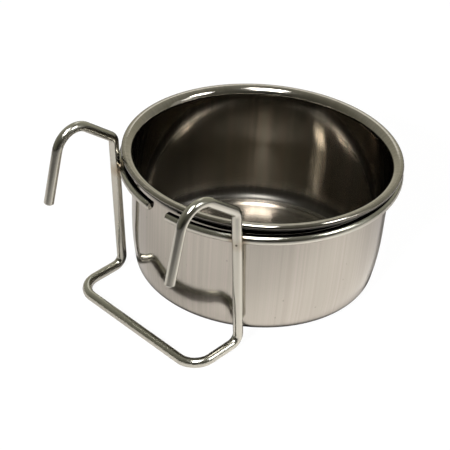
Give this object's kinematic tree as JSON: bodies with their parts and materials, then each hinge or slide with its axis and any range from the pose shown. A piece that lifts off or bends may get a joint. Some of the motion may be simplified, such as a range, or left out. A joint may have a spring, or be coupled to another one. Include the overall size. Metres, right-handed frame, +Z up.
{
  "type": "seed cup",
  "caption": "Steel cup with a rolled rim for seed or water, dropped into a split wire ring that is welded to a wire hanger with hooks, legs and a stand-off crossbar.",
  "frame": {"origin": "centre of the cup's flat base, on its outside face", "axes": "+Z up along the cup's axis, the hanger and its hooks on the -Y side, +X to the right for someone who looks along +Y from the hanger's side"},
  "size_m": [0.101, 0.1234, 0.0698],
  "materials": {
    "cup_steel": "drawn stainless sheet, fine upright brush lines outside, brighter inside and on the rolled rim",
    "wire_steel": "polished stainless wire",
    "weld_steel": "dull resistance weld with a faint heat tint"
  },
  "bodies": {
    "hanger": {"hanger": "wire_steel", "ring": "wire_steel", "left_weld": "weld_steel", "right_weld": "weld_steel"},
    "cup": {"cup": "cup_steel"}
  },
  "joints": [
    {"name": "cup_lift", "type": "slide", "parent": "hanger", "child": "cup", "axis": [0, 0, 1], "range_m": [0, 0.07]}
  ]
}
